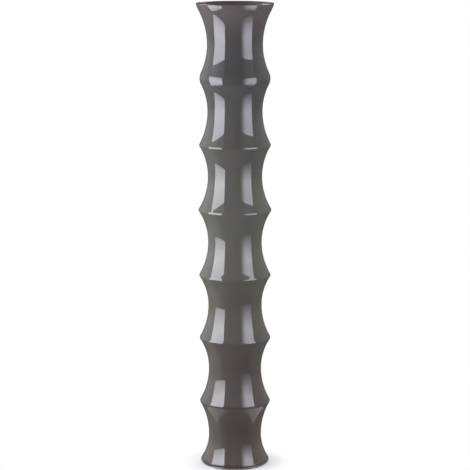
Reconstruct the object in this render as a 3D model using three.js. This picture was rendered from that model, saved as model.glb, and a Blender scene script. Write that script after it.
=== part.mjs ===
// Glass floor vase: a slim blown vessel in the form of a bamboo stalk, made of fused layers of glass.
// Millimetres, +Z up. The origin is the middle of the foot, on the floor.
import * as THREE from 'three';

// Driving dimensions

// Segments of the stalk
const SEGMENT_HEIGHT = 112; // from one ring to the next
const RING_DIAMETER = 122.5;
const RING_ROUND = 5; // radius on the crest of a ring
const TOP_RING_ROUND = 23; // the ring under the mouth is softer
const WAIST_DIAMETER = 92.5;
const WAIST_RISE = 57.5; // from a ring up to the waist above it

// Shaped by hand, so no two segments are alike: what each adds to the sizes above, from the foot up
const HEIGHT_TRIMS = [-0.5, 0, -2, 1.5, 0, 1.5];
const RING_TRIMS = [-1, 0, 0.5, 2.5, 0, -1.5];
const WAIST_TRIMS = [-1.5, -1.5, 0, 0, 0.5, 1.5];

// Mouth
const MOUTH_RISE = 126; // from the top ring up to the widest line of the lip
const MOUTH_WAIST_DIAMETER = 95.5;
const FLARE_ROUND = 50; // the flare turns up again over this radius, under the lip
const LIP_DIAMETER = 133;
const LIP_LEAN = 15; // what is left of the flare's lean at the lip, in degrees
const LIP_WALL = 3; // the wall thins to this from the mouth's waist up to the lip

// Foot
const FOOT_DIAMETER = 118.5;
const FOOT_ROUND = 6;
const FOOT_WAIST_HEIGHT = 52; // from the floor up to the lowest waist
const FOOT_RING_WIDTH = 10; // flat ring that the vase stands on
const PUSH_UP_HEIGHT = 3; // shallow hollow inside that ring

// Layers of glass, measured level through the wall below the mouth
const CASING_WALL = 3;
const COLOUR_WALL = 1.2;
const LINING_WALL = 1.2;
const FUSED_GAP = 0.3; // keeps neighbouring layers apart here; on the real vase they are fused

// Base: the layers lie on each other there as in the wall, on thin clear glass and under a thick lining
const CASING_BASE = 5;
const LINING_BASE = 8;
const COLOUR_CORNER_ROUND = 4; // where wall and base of the colour layer meet
const WELL_CORNER_ROUND = 10; // the same on the inside of the vase

// Fineness of the facets, as straight steps along an arc
const FACETS_AROUND = 32;
const OUTSIDE_WAIST_STEPS = 3;
const INSIDE_WAIST_STEPS = 2;
const CREST_STEPS = 2;
const LIP_STEPS = 3;
const PUSH_UP_STEPS = 3;
const SAME_POINT = 1e-6; // points closer than this are one point

// Faces of the layers, from the outside in: inset of the wall, height of the bottom, round between them
const casingInside = { inset: CASING_WALL, bottom: CASING_BASE, corner: COLOUR_CORNER_ROUND };
const colourOutside = furtherIn(casingInside, FUSED_GAP);
const colourInside = furtherIn(colourOutside, COLOUR_WALL);
const liningOutside = furtherIn(colourInside, FUSED_GAP);
const liningInside = furtherIn(liningOutside, LINING_WALL, LINING_BASE, WELL_CORNER_ROUND);

// Crests are where the outside is widest: the foot, each ring and the lip. Waists lie between them.
const foot = { radius: FOOT_DIAMETER / 2, height: FOOT_ROUND, round: FOOT_ROUND };
const rings = makeRings();
const waists = makeWaists();
const lip = makeLip();
const flare = makeFlare();

function furtherIn(face, wall, base = wall, corner = face.corner) {
  return { inset: face.inset + wall, bottom: face.bottom + base, corner };
}

function makeRings() {
  let height = 0;
  const topRing = HEIGHT_TRIMS.length - 1;
  return HEIGHT_TRIMS.map((trim, i) => {
    height += SEGMENT_HEIGHT + trim;
    const round = i === topRing ? TOP_RING_ROUND : RING_ROUND;
    return { radius: (RING_DIAMETER + RING_TRIMS[i]) / 2, height, round };
  });
}

function makeWaists() {
  const stalk = WAIST_TRIMS.map((trim, i) => ({
    radius: (WAIST_DIAMETER + trim) / 2,
    height: i === 0 ? FOOT_WAIST_HEIGHT : rings[i - 1].height + WAIST_RISE,
  }));
  const mouth = { radius: MOUTH_WAIST_DIAMETER / 2, height: rings.at(-1).height + WAIST_RISE };
  return [...stalk, mouth];
}

// The lip is rounded over the whole of its wall, which is thinner square to its lean than level.
function makeLip() {
  const height = rings.at(-1).height + MOUTH_RISE;
  const lean = THREE.MathUtils.degToRad(LIP_LEAN);
  return { radius: LIP_DIAMETER / 2, height, lean, round: (LIP_WALL / 2) * Math.cos(lean) };
}

// The crest that the flare would reach above the lip, if the lip did not cut it off
function makeFlare() {
  const reach = FLARE_ROUND - lip.round;
  const radius = lip.radius + reach * (1 - Math.cos(lip.lean));
  const height = lip.height + reach * Math.sin(lip.lean);
  return { radius, height, round: FLARE_ROUND };
}

// Steepest lean of the wall between a waist and a crest, where the hollow arc turns into the round one
function leanBetween(waist, crest) {
  return 2 * Math.atan2(crest.radius - waist.radius, Math.abs(crest.height - waist.height));
}

// Radius of the hollow arc that leaves a waist upright and runs smoothly into the round of a crest
function hollowBetween(waist, crest) {
  const swell = crest.radius - waist.radius;
  const rise = crest.height - waist.height;
  return (rise ** 2 + swell ** 2) / (2 * swell) - crest.round;
}

function arc(centreX, centreY, radius, fromAngle, toAngle, steps) {
  const clockwise = toAngle < fromAngle;
  const curve = new THREE.EllipseCurve(centreX, centreY, radius, radius, fromAngle, toAngle, clockwise);
  return curve.getPoints(steps);
}

// One run of points out of several that follow each other
function join(...runs) {
  const points = runs.flat();
  return points.filter((point, i) => i === 0 || point.distanceTo(points[i - 1]) > SAME_POINT);
}

// From a waist to where the round of a crest begins, up or down
function waistArc(waist, crest, inset, steps) {
  const hollow = hollowBetween(waist, crest);
  const turn = Math.sign(crest.height - waist.height) * leanBetween(waist, crest);
  return arc(waist.radius + hollow - inset, waist.height, hollow, Math.PI, Math.PI - turn, steps);
}

// Round of a crest, from one lean of the wall to the other
function crestArc(crest, inset, fromAngle, toAngle, steps = CREST_STEPS) {
  const centreX = crest.radius - crest.round - inset;
  return arc(centreX, crest.height, crest.round, fromAngle, toAngle, steps);
}

// Point on the outside of the mouth, moved in through the wall that thins evenly up to the lip
function thinned(point, inset) {
  const waistHeight = waists.at(-1).height;
  const climbed = (point.y - waistHeight) / (lip.height - waistHeight);
  const share = THREE.MathUtils.lerp(1, LIP_WALL / liningInside.inset, climbed);
  return new THREE.Vector2(point.x - inset * share, point.y);
}

// Wall from the lowest waist up to where the round of the lip begins
function wallFace(inset, waistSteps) {
  const segments = rings.map((ring, i) => join(
    waistArc(waists[i], ring, inset, waistSteps),
    crestArc(ring, inset, -leanBetween(waists[i], ring), leanBetween(waists[i + 1], ring)),
    waistArc(waists[i + 1], ring, inset, waistSteps).reverse(),
  ));
  const mouthWaist = waists.at(-1);
  const mouth = join(
    waistArc(mouthWaist, flare, 0, waistSteps),
    crestArc(flare, 0, -leanBetween(mouthWaist, flare), -lip.lean),
  );
  return join(...segments, mouth.map((point) => thinned(point, inset)));
}

// Outside of the foot: the push-up, the flat ring, the rounded edge, and up to the lowest waist
function footFace() {
  const ringInside = foot.radius - FOOT_ROUND - FOOT_RING_WIDTH;
  const domeRadius = (ringInside ** 2 + PUSH_UP_HEIGHT ** 2) / (2 * PUSH_UP_HEIGHT);
  const domeEnd = Math.acos(ringInside / domeRadius);
  return join(
    arc(0, PUSH_UP_HEIGHT - domeRadius, domeRadius, Math.PI / 2, domeEnd, PUSH_UP_STEPS),
    crestArc(foot, 0, -Math.PI / 2, 0),
    crestArc(foot, 0, 0, leanBetween(waists[0], foot)),
    waistArc(waists[0], foot, 0, OUTSIDE_WAIST_STEPS).reverse(),
  );
}

// Inside face of a layer: its bottom, the rounded corner, and the wall up to the round of the lip
function insideFace({ inset, bottom, corner }) {
  const hollow = hollowBetween(waists[0], foot);
  const hollowX = waists[0].radius + hollow - inset;
  const cornerY = bottom + corner;
  const reach = hollow + corner;
  const lean = Math.asin((waists[0].height - cornerY) / reach);
  const cornerX = hollowX - reach * Math.cos(lean);
  return join(
    [new THREE.Vector2(0, bottom)],
    arc(cornerX, cornerY, corner, -Math.PI / 2, lean, CREST_STEPS),
    arc(hollowX, waists[0].height, hollow, Math.PI + lean, Math.PI, INSIDE_WAIST_STEPS),
    wallFace(inset, INSIDE_WAIST_STEPS),
  );
}

// Share of the lip's round that lies between two insets
function lipArc(fromInset, toInset) {
  const angleAt = (inset) => Math.acos(1 - (2 * inset) / liningInside.inset) - lip.lean;
  return crestArc(lip, 0, angleAt(fromInset), angleAt(toInset), LIP_STEPS);
}

function casingProfile() {
  return join(
    footFace(),
    wallFace(0, OUTSIDE_WAIST_STEPS),
    lipArc(0, casingInside.inset),
    insideFace(casingInside).reverse(),
  );
}

function skinProfile(outside, inside) {
  return join(insideFace(outside), lipArc(outside.inset, inside.inset), insideFace(inside).reverse());
}

function glassLayer(name, profile, look) {
  const layer = new THREE.Mesh(
    new THREE.LatheGeometry(profile, FACETS_AROUND),
    new THREE.MeshStandardMaterial({ metalness: 0, ...look }),
  );
  layer.name = name;
  return layer;
}

const vase = new THREE.Group();
vase.rotation.x = Math.PI / 2; // turned about Y, and stood up along Z
vase.add(
  glassLayer('clear_casing', casingProfile(), {
    color: 0xeef1f0,
    roughness: 0.03,
    transparent: true,
    opacity: 0.3,
  }),
  glassLayer('grey_colour_layer', skinProfile(colourOutside, colourInside), {
    color: 0x5b5654,
    roughness: 0.2,
  }),
  glassLayer('dark_lining', skinProfile(liningOutside, liningInside), {
    color: 0x40373a,
    roughness: 0.05,
  }),
);

export default vase;
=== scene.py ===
"""Looks of the glass floor vase: three layers of glass as fine meshes, on white between two soft boxes."""
import math

import bmesh
import bpy
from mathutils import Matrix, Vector


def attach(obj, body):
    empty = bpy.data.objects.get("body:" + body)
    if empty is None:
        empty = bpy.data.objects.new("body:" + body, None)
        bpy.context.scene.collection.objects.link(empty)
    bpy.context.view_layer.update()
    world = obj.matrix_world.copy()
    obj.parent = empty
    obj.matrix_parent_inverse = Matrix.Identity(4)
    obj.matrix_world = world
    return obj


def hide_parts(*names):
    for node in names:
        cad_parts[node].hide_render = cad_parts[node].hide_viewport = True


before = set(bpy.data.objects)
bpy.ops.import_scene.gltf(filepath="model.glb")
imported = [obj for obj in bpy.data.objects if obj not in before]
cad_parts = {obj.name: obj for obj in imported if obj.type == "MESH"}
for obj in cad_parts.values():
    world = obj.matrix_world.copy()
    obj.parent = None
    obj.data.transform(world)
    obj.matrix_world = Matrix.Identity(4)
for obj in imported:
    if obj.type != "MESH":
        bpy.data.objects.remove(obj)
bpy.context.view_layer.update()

MM = 0.001

# Sizes of the vase in millimetres, as in the CAD

# Segments of the stalk, and what each adds to these sizes, from the foot up
SEGMENT_HEIGHT = 112
RING_DIAMETER = 122.5
RING_ROUND = 5
TOP_RING_ROUND = 23
WAIST_DIAMETER = 92.5
WAIST_RISE = 57.5
HEIGHT_TRIMS = (-0.5, 0, -2, 1.5, 0, 1.5)
RING_TRIMS = (-1, 0, 0.5, 2.5, 0, -1.5)
WAIST_TRIMS = (-1.5, -1.5, 0, 0, 0.5, 1.5)

# Mouth
MOUTH_RISE = 126
MOUTH_WAIST_DIAMETER = 95.5
FLARE_ROUND = 50
LIP_DIAMETER = 133
LIP_LEAN = math.radians(15)
LIP_WALL = 3

# Foot
FOOT_DIAMETER = 118.5
FOOT_ROUND = 6
FOOT_WAIST_HEIGHT = 52
FOOT_RING_WIDTH = 10
PUSH_UP_HEIGHT = 3

# Layers of glass
CASING_WALL = 3
COLOUR_WALL = 1.2
LINING_WALL = 1.2
FUSED_GAP = 0.3  # between the layers in the CAD
FUSED_OVERLAP = 0.1  # here each layer reaches this far into the one outside it, so no air shows
CASING_BASE = 5
LINING_BASE = 8
COLOUR_CORNER_ROUND = 4
WELL_CORNER_ROUND = 10

# Waves that blowing and turning left in the glass: lobes around, height of one turn, swell, phase
WAVES = (
    (2, 560, 0.12, 0.4),
    (3, 330, 0.08, 2.1),
    (5, 210, 0.03, 4.4),
)

# Fineness of the meshes, as straight steps along an arc
FACETS_AROUND = 160
FINE = {"waist": 16, "crest": 8}
COARSE = {"waist": 8, "crest": 4}
LIP_STEPS = 8
PUSH_UP_STEPS = 10
SAME_POINT = 1e-6  # points closer than this are one point
SHARP_EDGE = math.radians(38)  # edges that turn by more than this aren't smoothed


# Profile of the vase: points are (radius, height), and angles turn from the radius towards the height

def lean_between(waist, crest):
    """Steepest lean of the wall between a waist and a crest."""
    return 2 * math.atan2(crest["radius"] - waist["radius"], abs(crest["height"] - waist["height"]))


def hollow_between(waist, crest):
    """Radius of the hollow arc that leaves a waist upright and runs smoothly into a crest's round."""
    swell = crest["radius"] - waist["radius"]
    rise = crest["height"] - waist["height"]
    return (rise**2 + swell**2) / (2 * swell) - crest["round"]


def make_rings():
    rings = []
    height = 0
    for height_trim, ring_trim in zip(HEIGHT_TRIMS, RING_TRIMS):
        height += SEGMENT_HEIGHT + height_trim
        radius = (RING_DIAMETER + ring_trim) / 2
        rings.append({"radius": radius, "height": height, "round": RING_ROUND})
    rings[-1]["round"] = TOP_RING_ROUND
    return rings


def make_waists(rings):
    heights = [FOOT_WAIST_HEIGHT] + [ring["height"] + WAIST_RISE for ring in rings]
    diameters = [WAIST_DIAMETER + trim for trim in WAIST_TRIMS] + [MOUTH_WAIST_DIAMETER]
    return [{"radius": d / 2, "height": h} for d, h in zip(diameters, heights)]


def make_lip(rings):
    return {
        "radius": LIP_DIAMETER / 2,
        "height": rings[-1]["height"] + MOUTH_RISE,
        "round": LIP_WALL / 2 * math.cos(LIP_LEAN),
    }


def make_flare(lip):
    """The crest that the flare would reach above the lip, if the lip did not cut it off."""
    reach = FLARE_ROUND - lip["round"]
    return {
        "radius": lip["radius"] + reach * (1 - math.cos(LIP_LEAN)),
        "height": lip["height"] + reach * math.sin(LIP_LEAN),
        "round": FLARE_ROUND,
    }


def further_in(face, wall, base=None, corner=None):
    """Face of a layer that lies a wall further in, and a base further up."""
    return {
        "inset": face["inset"] + wall,
        "bottom": face["bottom"] + (wall if base is None else base),
        "corner": face["corner"] if corner is None else corner,
    }


CASING_INSIDE = {"inset": CASING_WALL, "bottom": CASING_BASE, "corner": COLOUR_CORNER_ROUND}
COLOUR_OUTSIDE = further_in(CASING_INSIDE, -FUSED_OVERLAP)
COLOUR_INSIDE = further_in(CASING_INSIDE, FUSED_GAP + COLOUR_WALL)
LINING_OUTSIDE = further_in(COLOUR_INSIDE, -FUSED_OVERLAP)
LINING_INSIDE = further_in(
    COLOUR_INSIDE,
    FUSED_GAP + LINING_WALL,
    base=FUSED_GAP + LINING_BASE,
    corner=WELL_CORNER_ROUND,
)

FOOT = {"radius": FOOT_DIAMETER / 2, "height": FOOT_ROUND, "round": FOOT_ROUND}
RINGS = make_rings()
WAISTS = make_waists(RINGS)
LIP = make_lip(RINGS)
FLARE = make_flare(LIP)


def arc(centre_x, centre_y, radius, start, end, steps):
    turns = [start + (end - start) * i / steps for i in range(steps + 1)]
    return [(centre_x + radius * math.cos(a), centre_y + radius * math.sin(a)) for a in turns]


def join(*runs):
    """One run of points out of several that follow each other."""
    points = []
    for point in (p for run in runs for p in run):
        if not points or math.dist(point, points[-1]) > SAME_POINT:
            points.append(point)
    return points


def waist_arc(waist, crest, inset, fineness):
    """From a waist to where the round of a crest begins, up or down."""
    hollow = hollow_between(waist, crest)
    turn = math.copysign(lean_between(waist, crest), crest["height"] - waist["height"])
    centre_x = waist["radius"] + hollow - inset
    return arc(centre_x, waist["height"], hollow, math.pi, math.pi - turn, fineness["waist"])


def crest_arc(crest, inset, start, end, steps):
    """Round of a crest, from one angle to another."""
    centre_x = crest["radius"] - crest["round"] - inset
    return arc(centre_x, crest["height"], crest["round"], start, end, steps)


def thinned(points, inset):
    """Outside of the mouth moved in through the wall, which thins evenly from the waist up to the lip."""
    low, high = WAISTS[-1]["height"], LIP["height"]
    thinning = 1 - LIP_WALL / LINING_INSIDE["inset"]
    return [(x - inset * (1 - thinning * (y - low) / (high - low)), y) for x, y in points]


def wall_face(inset, fineness):
    """Wall from the lowest waist up to where the round of the lip begins."""
    runs = []
    for below, ring, above in zip(WAISTS, RINGS, WAISTS[1:]):
        runs.append(waist_arc(below, ring, inset, fineness))
        start, end = -lean_between(below, ring), lean_between(above, ring)
        runs.append(crest_arc(ring, inset, start, end, fineness["crest"]))
        runs.append(waist_arc(above, ring, inset, fineness)[::-1])
    flare_start = -lean_between(WAISTS[-1], FLARE)
    mouth = join(
        waist_arc(WAISTS[-1], FLARE, 0, fineness),
        crest_arc(FLARE, 0, flare_start, -LIP_LEAN, fineness["crest"]),
    )
    return join(*runs, thinned(mouth, inset))


def foot_face(fineness):
    """Outside of the foot: the push-up, the flat ring, the rounded edge, and up to the lowest waist."""
    ring_inside = FOOT["radius"] - FOOT_ROUND - FOOT_RING_WIDTH
    dome_radius = (ring_inside**2 + PUSH_UP_HEIGHT**2) / (2 * PUSH_UP_HEIGHT)
    dome_end = math.acos(ring_inside / dome_radius)
    return join(
        arc(0, PUSH_UP_HEIGHT - dome_radius, dome_radius, math.pi / 2, dome_end, PUSH_UP_STEPS),
        crest_arc(FOOT, 0, -math.pi / 2, 0, fineness["crest"]),
        crest_arc(FOOT, 0, 0, lean_between(WAISTS[0], FOOT), fineness["crest"]),
        waist_arc(WAISTS[0], FOOT, 0, fineness)[::-1],
    )


def inside_face(face, fineness):
    """Inside face of a layer: its bottom, the rounded corner, and the wall up to the round of the lip."""
    waist, corner = WAISTS[0], face["corner"]
    hollow = hollow_between(waist, FOOT)
    hollow_x = waist["radius"] + hollow - face["inset"]
    corner_y = face["bottom"] + corner
    lean = math.asin((waist["height"] - corner_y) / (hollow + corner))
    corner_x = hollow_x - (hollow + corner) * math.cos(lean)
    return join(
        [(0, face["bottom"])],
        arc(corner_x, corner_y, corner, -math.pi / 2, lean, fineness["crest"]),
        arc(hollow_x, waist["height"], hollow, math.pi + lean, math.pi, fineness["waist"]),
        wall_face(face["inset"], fineness),
    )


def lip_angle(inset):
    """Angle on the lip's round that lies an inset in from its outside."""
    return math.acos(1 - 2 * inset / LINING_INSIDE["inset"]) - LIP_LEAN


def lip_arc(from_inset, to_inset):
    """Share of the lip's round that lies between two insets."""
    return crest_arc(LIP, 0, lip_angle(from_inset), lip_angle(to_inset), LIP_STEPS)


# Meshes

def blown(angle, height):
    """Swell of the hand-shaped wall, in millimetres."""
    return sum(
        swell * math.cos(lobes * angle + math.tau * height / pitch + phase)
        for lobes, pitch, swell, phase in WAVES
    )


def turned_point(bm, radius, height):
    """A point of the profile turned about the axis: a row of corners, or one and the same on the axis."""
    if radius < SAME_POINT:
        return [bm.verts.new((0, 0, height * MM))] * FACETS_AROUND
    row = []
    for i in range(FACETS_AROUND):
        angle = math.tau * i / FACETS_AROUND
        reach = (radius + blown(angle, height)) * MM
        row.append(bm.verts.new((reach * math.cos(angle), reach * math.sin(angle), height * MM)))
    return row


def lathe(name, profile):
    """Turns a profile that starts and ends on the axis into a closed smooth mesh."""
    bm = bmesh.new()
    rows = [turned_point(bm, radius, height) for radius, height in profile]
    for low, high in zip(rows, rows[1:]):
        for i in range(FACETS_AROUND):
            j = (i + 1) % FACETS_AROUND
            corners = list(dict.fromkeys((low[i], low[j], high[j], high[i])))
            face = bm.faces.new(corners)
            face.smooth = True
    bmesh.ops.recalc_face_normals(bm, faces=bm.faces)
    mesh = bpy.data.meshes.new(name)
    bm.to_mesh(mesh)
    bm.free()
    mesh.set_sharp_from_angle(angle=SHARP_EDGE)
    obj = bpy.data.objects.new(name, mesh)
    bpy.context.scene.collection.objects.link(obj)
    return obj


# Materials: lengths in metres, and noise as waves per metre

CLEAR = (0.98, 0.985, 0.98, 1)
CLEAR_INDEX = 1.7  # refraction of dense crystal
CLEAR_POLISH_NOISE = 45
CLEAR_ROUGHNESS = (0.0, 0.03)

RIPPLE_NOISE = 28
RIPPLE_STRETCH = (1, 1, 0.6)
RIPPLE_DEPTH = 2e-5

# Share of the height, and the grey there: a drifting tint, with painted light lighter at mid-height
GREY_TINT_AND_PAINTED_LIGHT = (
    (0.0, (0.112, 0.090, 0.075)),
    (0.15, (0.107, 0.090, 0.079)),
    (0.5, (0.131, 0.126, 0.104)),
    (0.8, (0.085, 0.081, 0.076)),
    (0.92, (0.083, 0.077, 0.075)),
    (1.0, (0.124, 0.103, 0.095)),
)
GREY_ROUGHNESS = 0.06
GLOSS_UNDER_CASING = 0.0
GLOSS_AT_LIP = 0.5
STREAK_NOISE = 55
STREAK_STRETCH = (1, 1, 0.12)
STREAK_LEVELS = ((0.3, (0.88, 0.88, 0.88)), (0.7, (1.0, 1.0, 1.0)))

DARK_INDEX = 1.52  # refraction of plain glass
DARK_ROUGHNESS = (0.02, 0.09)
DARK_POLISH_NOISE = 60
CLOUD_NOISE = 30
CLOUD_COLOURS = ((0.3, (0.232, 0.162, 0.186)), (0.7, (0.282, 0.200, 0.228)))

# Places of a Mix node's sockets for colours
MIX_FIRST, MIX_SECOND, MIX_RESULT = 6, 7, 2


def new_material(name):
    """A new material, and its nodes, links and Principled shader."""
    material = bpy.data.materials.new(name)
    material.use_nodes = True
    nodes = material.node_tree.nodes
    return material, nodes, material.node_tree.links, nodes["Principled BSDF"]


def noise_of(nodes, links, scale, detail=2.0, stretch=(1, 1, 1)):
    """Noise in the object's own space; a stretch under 1 draws it out along that axis."""
    place = nodes.new("ShaderNodeTexCoord")
    mapping = nodes.new("ShaderNodeMapping")
    mapping.inputs["Scale"].default_value = stretch
    noise = nodes.new("ShaderNodeTexNoise")
    noise.inputs["Scale"].default_value = scale
    noise.inputs["Detail"].default_value = detail
    links.new(place.outputs["Object"], mapping.inputs["Vector"])
    links.new(mapping.outputs["Vector"], noise.inputs["Vector"])
    return noise.outputs["Fac"]


def ranged(nodes, links, value, low, high):
    """A value between 0 and 1, spread from low to high."""
    spread = nodes.new("ShaderNodeMapRange")
    spread.inputs["To Min"].default_value = low
    spread.inputs["To Max"].default_value = high
    links.new(value, spread.inputs["Value"])
    return spread.outputs["Result"]


def ripple(nodes, links, shader):
    """Faint waves in a polished surface."""
    bump = nodes.new("ShaderNodeBump")
    bump.inputs["Strength"].default_value = 1.0
    bump.inputs["Distance"].default_value = RIPPLE_DEPTH
    links.new(noise_of(nodes, links, RIPPLE_NOISE, stretch=RIPPLE_STRETCH), bump.inputs["Height"])
    links.new(bump.outputs["Normal"], shader.inputs["Normal"])


def ramp(nodes, links, value, stops):
    """Colour that follows a value through stops, each a position and a colour."""
    node = nodes.new("ShaderNodeValToRGB")
    elements = node.color_ramp.elements
    while len(elements) < len(stops):
        elements.new(0.5)
    for element, (position, colour) in zip(elements, stops):
        element.position = position
        element.color = (*colour, 1)
    links.new(value, node.inputs["Fac"])
    return node.outputs["Color"]


def clear_glass():
    material, nodes, links, shader = new_material("clear_glass")
    shader.inputs["Base Color"].default_value = CLEAR
    shader.inputs["IOR"].default_value = CLEAR_INDEX
    shader.inputs["Transmission Weight"].default_value = 1.0
    polish = noise_of(nodes, links, CLEAR_POLISH_NOISE, detail=3)
    links.new(ranged(nodes, links, polish, *CLEAR_ROUGHNESS), shader.inputs["Roughness"])
    ripple(nodes, links, shader)
    return material


def grey_glass(name, gloss):
    """Opaque grey whose tint drifts a little from foot to mouth, with painted light that makes it lighter
    at mid-height, where the soft boxes shine most, and faint streaks along the stalk.
    """
    material, nodes, links, shader = new_material(name)
    place = nodes.new("ShaderNodeTexCoord")
    split = nodes.new("ShaderNodeSeparateXYZ")
    links.new(place.outputs["Generated"], split.inputs["Vector"])
    streaks = noise_of(nodes, links, STREAK_NOISE, detail=4, stretch=STREAK_STRETCH)
    mix = nodes.new("ShaderNodeMix")
    mix.data_type = "RGBA"
    mix.blend_type = "MULTIPLY"
    mix.inputs["Factor"].default_value = 1.0
    # the grey along the height: a drifting tint, and painted light that is lighter at mid-height
    links.new(ramp(nodes, links, split.outputs["Z"], GREY_TINT_AND_PAINTED_LIGHT), mix.inputs[MIX_FIRST])
    links.new(ramp(nodes, links, streaks, STREAK_LEVELS), mix.inputs[MIX_SECOND])
    links.new(mix.outputs[MIX_RESULT], shader.inputs["Base Color"])
    shader.inputs["Roughness"].default_value = GREY_ROUGHNESS
    shader.inputs["Specular IOR Level"].default_value = gloss
    return material


def dark_glass():
    """Glossy dark plum with soft clouds."""
    material, nodes, links, shader = new_material("dark_glass")
    clouds = noise_of(nodes, links, CLOUD_NOISE, detail=3)
    links.new(ramp(nodes, links, clouds, CLOUD_COLOURS), shader.inputs["Base Color"])
    polish = noise_of(nodes, links, DARK_POLISH_NOISE)
    links.new(ranged(nodes, links, polish, *DARK_ROUGHNESS), shader.inputs["Roughness"])
    shader.inputs["IOR"].default_value = DARK_INDEX
    ripple(nodes, links, shader)
    return material


# The three layers

casing = lathe("clear_glass_casing", join(
    foot_face(FINE),
    wall_face(0, FINE),
    lip_arc(0, CASING_INSIDE["inset"]),
    inside_face(CASING_INSIDE, COARSE)[::-1],
))
colour = lathe("grey_glass_layer", join(
    inside_face(COLOUR_OUTSIDE, COARSE),
    lip_arc(CASING_INSIDE["inset"], COLOUR_INSIDE["inset"]),
    inside_face(COLOUR_INSIDE, COARSE)[::-1],
))
lining = lathe("dark_glass_lining", join(
    inside_face(LINING_OUTSIDE, COARSE),
    lip_arc(COLOUR_INSIDE["inset"], LINING_INSIDE["inset"]),
    inside_face(LINING_INSIDE, FINE)[::-1],
))

casing.data.materials.append(clear_glass())
colour.data.materials.append(grey_glass("grey_glass", GLOSS_UNDER_CASING))
colour.data.materials.append(grey_glass("grey_glass_at_lip", GLOSS_AT_LIP))
lining.data.materials.append(dark_glass())

AT_LIP = 1  # place of the lip's grey among the materials of the colour layer
for face in colour.data.polygons:
    if face.center.z > LIP["height"] * MM:
        face.material_index = AT_LIP

# The casing bends what the eye sees but takes no light from the colour under it
casing.visible_shadow = False
casing.visible_diffuse = False

for piece, node, slot in (
    (casing, "clear_casing", "clear_glass"),
    (colour, "grey_colour_layer", "grey_glass"),
    (lining, "dark_lining", "dark_glass"),
):
    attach(piece, "root")
    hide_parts(node)


# Set: a small white floor under the vase, and a white backdrop that fills the frame behind it, in metres

FLOOR_HALF_WIDTH = 0.15
FLOOR_FRONT, FLOOR_BACK = -0.104, 0.08
FLOOR_FRONT_ROUND = 0.25  # radius of its front edge
FLOOR_FRONT_FADE = 0.02  # it fades out over this width along that edge
FLOOR_FRONT_STEPS = 24
FLOOR_LIFT = -0.0002  # the floor lies just under the foot, so no faces meet
ROUND_MIDDLE = FLOOR_FRONT + FLOOR_FRONT_ROUND
BACKDROP_BACK = 3.4
BACKDROP_HALF_WIDTH = 0.83
BACKDROP_LOW, BACKDROP_HIGH = -1.05, 0.7
SHADOW_NEAR = 0.06  # the floor shows the vase's shadow up to here from the axis
SHADOW_FAR = 0.10  # and is plain white from here on
SHADOW_WHITE = 0.3  # share of that white inside the shadow
MATT_WHITE = (0.88, 0.88, 0.88, 1)
MATT_ROUGHNESS = 0.9


def stage_piece(name, corners, material):
    """A flat piece of the set, from its corners in turn."""
    mesh = bpy.data.meshes.new(name)
    mesh.from_pydata(corners, [], [tuple(range(len(corners)))])
    mesh.materials.append(material)
    piece = bpy.data.objects.new(name, mesh)
    bpy.context.scene.collection.objects.link(piece)


def mixed(nodes, links, share, first, second):
    """A share of the second shader over the first."""
    mix = nodes.new("ShaderNodeMixShader")
    links.new(share, mix.inputs["Fac"])
    links.new(first, mix.inputs[1])
    links.new(second, mix.inputs[2])
    return mix.outputs[0]


def math_node(nodes, links, operation, first, second):
    node = nodes.new("ShaderNodeMath")
    node.operation = operation
    links.new(first, node.inputs[0])
    links.new(second, node.inputs[1])
    return node.outputs[0]


def smooth_share(nodes, links, value, low, high, start, end):
    """Goes gently from start to end while a value goes from low to high."""
    share = nodes.new("ShaderNodeMapRange")
    share.interpolation_type = "SMOOTHSTEP"
    for socket, number in (("From Min", low), ("From Max", high), ("To Min", start), ("To Max", end)):
        share.inputs[socket].default_value = number
    links.new(value, share.inputs["Value"])
    return share.outputs["Result"]


def distance_from(nodes, links, point):
    """How far a place on a surface lies from a point, in the object's own space."""
    place = nodes.new("ShaderNodeTexCoord")
    distance = nodes.new("ShaderNodeVectorMath")
    distance.operation = "DISTANCE"
    distance.inputs[1].default_value = point
    links.new(place.outputs["Object"], distance.inputs[0])
    return distance.outputs["Value"]


def beyond_shadow(nodes, links):
    """Low near the vase, where its shadow falls, and 1 further off."""
    distance = distance_from(nodes, links, (0, 0, 0))
    return smooth_share(nodes, links, distance, SHADOW_NEAR, SHADOW_FAR, SHADOW_WHITE, 1)


def along_front(nodes, links):
    """Goes from 0 to 1 across the strip where the floor fades out, along its rounded front."""
    distance = distance_from(nodes, links, (0, ROUND_MIDDLE, FLOOR_LIFT))
    fade_start = FLOOR_FRONT_ROUND - FLOOR_FRONT_FADE
    return smooth_share(nodes, links, distance, fade_start, FLOOR_FRONT_ROUND, 0, 1)


def looked_at(nodes, links):
    """1 for whatever looks at a surface: the camera, reflections, and views through glass."""
    path = nodes.new("ShaderNodeLightPath").outputs
    seen = math_node(nodes, links, "MAXIMUM", path["Is Camera Ray"], path["Is Glossy Ray"])
    return math_node(nodes, links, "MAXIMUM", seen, path["Is Transmission Ray"])


def white_to_look_at(name, share=None, gone=None):
    """Matt white that looks evenly white, or white by a share of 0 to 1, to whatever looks at its front.
    From behind, and as far as it is gone, it looks like nothing."""
    material, nodes, links, shader = new_material(name)
    shader.inputs["Base Color"].default_value = MATT_WHITE
    shader.inputs["Roughness"].default_value = MATT_ROUGHNESS
    shader.inputs["Specular IOR Level"].default_value = 0.0
    white = nodes.new("ShaderNodeEmission")
    seen = looked_at(nodes, links)
    if share:
        seen = math_node(nodes, links, "MULTIPLY", seen, share(nodes, links))
    front = mixed(nodes, links, seen, shader.outputs[0], white.outputs[0])
    nothing = nodes.new("ShaderNodeBsdfTransparent")
    unseen = nodes.new("ShaderNodeNewGeometry").outputs["Backfacing"]
    if gone:
        unseen = math_node(nodes, links, "MAXIMUM", unseen, gone(nodes, links))
    both = mixed(nodes, links, unseen, front, nothing.outputs[0])
    links.new(both, nodes["Material Output"].inputs["Surface"])
    return material


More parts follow.
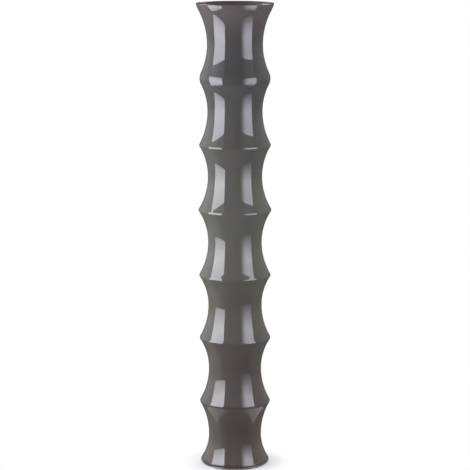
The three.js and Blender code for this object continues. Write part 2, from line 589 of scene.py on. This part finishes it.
def floor_outline():
    """Straight at the back and the sides, rounded in front, from the left corner in front."""
    turn = math.asin(FLOOR_HALF_WIDTH / FLOOR_FRONT_ROUND)
    start, end = -math.pi / 2 - turn, -math.pi / 2 + turn
    front = arc(0, ROUND_MIDDLE, FLOOR_FRONT_ROUND, start, end, FLOOR_FRONT_STEPS)
    return front + [(FLOOR_HALF_WIDTH, FLOOR_BACK), (-FLOOR_HALF_WIDTH, FLOOR_BACK)]


def backdrop_outline():
    """Upright rectangle, from its left corner at the bottom."""
    left, right = -BACKDROP_HALF_WIDTH, BACKDROP_HALF_WIDTH
    return [(left, BACKDROP_LOW), (right, BACKDROP_LOW), (right, BACKDROP_HIGH), (left, BACKDROP_HIGH)]


stage_piece(
    "floor",
    [(x, y, FLOOR_LIFT) for x, y in floor_outline()],
    white_to_look_at("floor_white", beyond_shadow, along_front),
)
stage_piece(
    "backdrop",
    [(x, BACKDROP_BACK, z) for x, z in backdrop_outline()],
    white_to_look_at("backdrop_white"),
)


# Light: two soft boxes in front, left and right, and a dim room that is paler at both sides,
# with two bright panels high behind the vase. Azimuths turn from the camera's side to the right.

LAMP_COLOUR = (0.89, 0.91, 1.0)

# Paler parts of the room, in degrees: each is full up to its core and gone at its edge
WALL = {"elevation": 0, "core": 18, "edge": 60}
PANEL = {"elevation": 37, "core": 11.5, "edge": 15}

# Height of a direction, and the level there
STRAIGHT_DOWN, STRAIGHT_UP = -1, 1
WALL_LEVELS = ((-0.6, 0.6), (-0.34, 0.4), (-0.2, 0.4), (0, 0.95), (0.2, 1))
ROOM_LEVELS = ((-0.85, 0.28), (-0.5, 0.1))


def facing(azimuth, elevation=0):
    """Direction from the vase's axis, by angles in degrees."""
    turn, rise = math.radians(azimuth), math.radians(elevation)
    level = math.cos(rise)
    return Vector((level * math.sin(turn), -level * math.cos(turn), math.sin(rise)))


def level_ramp(nodes, links, value, stops, start, end):
    """Level that follows a value of 0 to 1 through stops, whose places lie between start and end."""
    shares = [((at - start) / (end - start), (level, level, level)) for at, level in stops]
    return ramp(nodes, links, value, shares)


def soft_box(name, azimuth, distance, radiance, across, upwards):
    """Upright soft box square to an azimuth; its stops say how its face glows, by places in metres."""
    edges = [(stops[0][0], stops[-1][0]) for stops in (across, upwards)]
    lamp = bpy.data.lights.new(name, "AREA")
    lamp.shape = "RECTANGLE"
    lamp.size, lamp.size_y = (end - start for start, end in edges)
    lamp.energy = radiance * math.pi * lamp.size * lamp.size_y
    lamp.color = LAMP_COLOUR
    lamp.use_nodes = True
    nodes, links = lamp.node_tree.nodes, lamp.node_tree.links
    place = nodes.new("ShaderNodeNewGeometry")
    split = nodes.new("ShaderNodeSeparateXYZ")
    links.new(place.outputs["Parametric"], split.inputs["Vector"])
    glow = math_node(
        nodes, links, "MULTIPLY",
        level_ramp(nodes, links, split.outputs["X"], across, *edges[0]),
        level_ramp(nodes, links, split.outputs["Y"], upwards, *edges[1]),
    )
    links.new(glow, nodes["Emission"].inputs["Strength"])

    box = bpy.data.objects.new(name, lamp)
    outwards = facing(azimuth)
    sideways = Vector((0, 0, 1)).cross(outwards)
    box.location = outwards * distance + sideways * sum(edges[0]) / 2
    box.location.z = sum(edges[1]) / 2
    box.rotation_mode = "QUATERNION"
    box.rotation_quaternion = (-outwards).to_track_quat("-Z", "Y")
    box.visible_camera = False
    bpy.context.scene.collection.objects.link(box)


# Each box has a bright face, with a faint glow above it
soft_box(
    "soft_box_left", azimuth=-75, distance=0.74, radiance=6.8,
    across=((-0.20, 0.77), (0.14, 0.86), (0.48, 1.0)),
    upwards=(
        (0.12, 0.25), (0.15, 0.52), (0.46, 1.0), (0.54, 1.0), (0.7, 0.88), (0.945, 0.83),
        (0.946, 0.055), (1.6, 0.055),
    ),
)
soft_box(
    "soft_box_right", azimuth=53, distance=0.755, radiance=4.5,
    across=((-0.444, 0.05), (-0.364, 0.2), (-0.151, 0.95), (-0.027, 1.0), (0.249, 0.9)),
    upwards=(
        (0.0, 0.03), (0.06, 0.14), (0.125, 0.24), (0.28, 0.6), (0.48, 1.0), (0.77, 0.86), (0.9, 0.92),
        (0.901, 0.08), (1.5, 0.08),
    ),
)


def pale_patch(nodes, links, place, azimuth, elevation, core, edge, strength):
    """Part of the room that is paler by a strength, around a direction."""
    towards = nodes.new("ShaderNodeVectorMath")
    towards.operation = "DOT_PRODUCT"
    towards.inputs[1].default_value = facing(azimuth, elevation)
    links.new(place, towards.inputs[0])
    start, end = math.cos(math.radians(edge)), math.cos(math.radians(core))
    return smooth_share(nodes, links, towards.outputs["Value"], start, end, 0, strength)


def room_light():
    """A dim room with a pale floor far below, paler walls at both sides, and panels high at the back."""
    world = bpy.data.worlds.new("dim_room")
    world.use_nodes = True
    nodes, links = world.node_tree.nodes, world.node_tree.links
    place = nodes.new("ShaderNodeTexCoord").outputs["Generated"]
    split = nodes.new("ShaderNodeSeparateXYZ")
    links.new(place, split.inputs["Vector"])
    climb = nodes.new("ShaderNodeMapRange")
    climb.inputs["From Min"].default_value = STRAIGHT_DOWN
    climb.inputs["From Max"].default_value = STRAIGHT_UP
    links.new(split.outputs["Z"], climb.inputs["Value"])
    height = climb.outputs["Result"]

    walls = math_node(
        nodes, links, "ADD",
        pale_patch(nodes, links, place, azimuth=-105, strength=0.66, **WALL),
        pale_patch(nodes, links, place, azimuth=108, strength=0.27, **WALL),
    )
    panels = math_node(
        nodes, links, "ADD",
        pale_patch(nodes, links, place, azimuth=-145, strength=3.5, **PANEL),
        pale_patch(nodes, links, place, azimuth=145, strength=8, **PANEL),
    )
    wall_levels = level_ramp(nodes, links, height, WALL_LEVELS, STRAIGHT_DOWN, STRAIGHT_UP)
    room_levels = level_ramp(nodes, links, height, ROOM_LEVELS, STRAIGHT_DOWN, STRAIGHT_UP)
    room = math_node(nodes, links, "MULTIPLY", walls, wall_levels)
    room = math_node(nodes, links, "ADD", room, room_levels)
    room = math_node(nodes, links, "ADD", room, panels)
    links.new(room, nodes["Background"].inputs["Strength"])
    nodes["Background"].inputs["Color"].default_value = (1, 1, 1, 1)
    return world


bpy.context.scene.world = room_light()


# Camera, in metres and degrees

CAMERA_PLACE = (0, -3.466, 0.994)
CAMERA_DIP = 9.68  # it looks down by this angle
SENSOR_WIDTH = 36  # in millimetres
IMAGE_WIDTH = 470  # in pixels
FOCAL_PIXELS = 2045.1  # focal length in pixels

camera_data = bpy.data.cameras.new("camera")
camera_data.sensor_width = SENSOR_WIDTH
camera_data.lens = FOCAL_PIXELS / IMAGE_WIDTH * SENSOR_WIDTH
camera = bpy.data.objects.new("camera", camera_data)
camera.location = CAMERA_PLACE
camera.rotation_euler = (math.radians(90 - CAMERA_DIP), 0, 0)
bpy.context.scene.collection.objects.link(camera)
bpy.context.scene.camera = camera

bpy.context.scene.view_settings.view_transform = "Standard"
